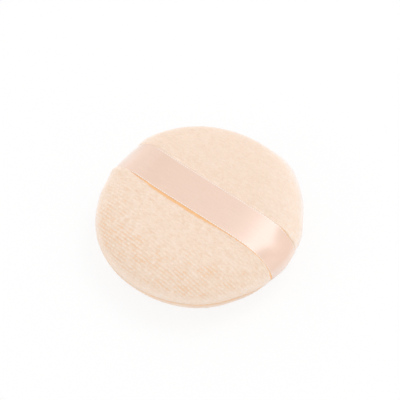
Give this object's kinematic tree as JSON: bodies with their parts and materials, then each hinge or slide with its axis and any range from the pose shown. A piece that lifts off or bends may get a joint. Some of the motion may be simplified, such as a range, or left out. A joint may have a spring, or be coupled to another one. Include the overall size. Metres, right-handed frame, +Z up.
{
  "type": "powder puff",
  "caption": "Round velour powder puff: a soft cushion with a flat underside and a satin ribbon strap across the top that lifts to let fingers slide under it.",
  "frame": {"origin": "the middle of the footprint, on the table under the flat underside", "axes": "+Z is up, out of the side with the ribbon; +X runs along the ribbon; +Y runs across it"},
  "size_m": [0.0642, 0.066, 0.0194],
  "materials": {
    "velour": "short cut pile, peach",
    "satin": "woven satin ribbon, soft sheen",
    "foam": "open-cell foam",
    "thread": "spun sewing thread"
  },
  "bodies": {
    "puff": {"top_cover": "velour", "bottom_cover": "velour", "foam_core": "foam", "rim_needle_thread": "thread", "rim_bobbin_thread": "thread", "closing_thread": "thread"},
    "strap": {"ribbon_strap": "satin"}
  },
  "joints": [
    {"name": "strap_lift", "type": "slide", "parent": "puff", "child": "strap", "axis": [0, 0, 1], "range_m": [0, 0.006], "stiffness_N_per_m": 4, "deforming": ["ribbon_strap"]}
  ]
}
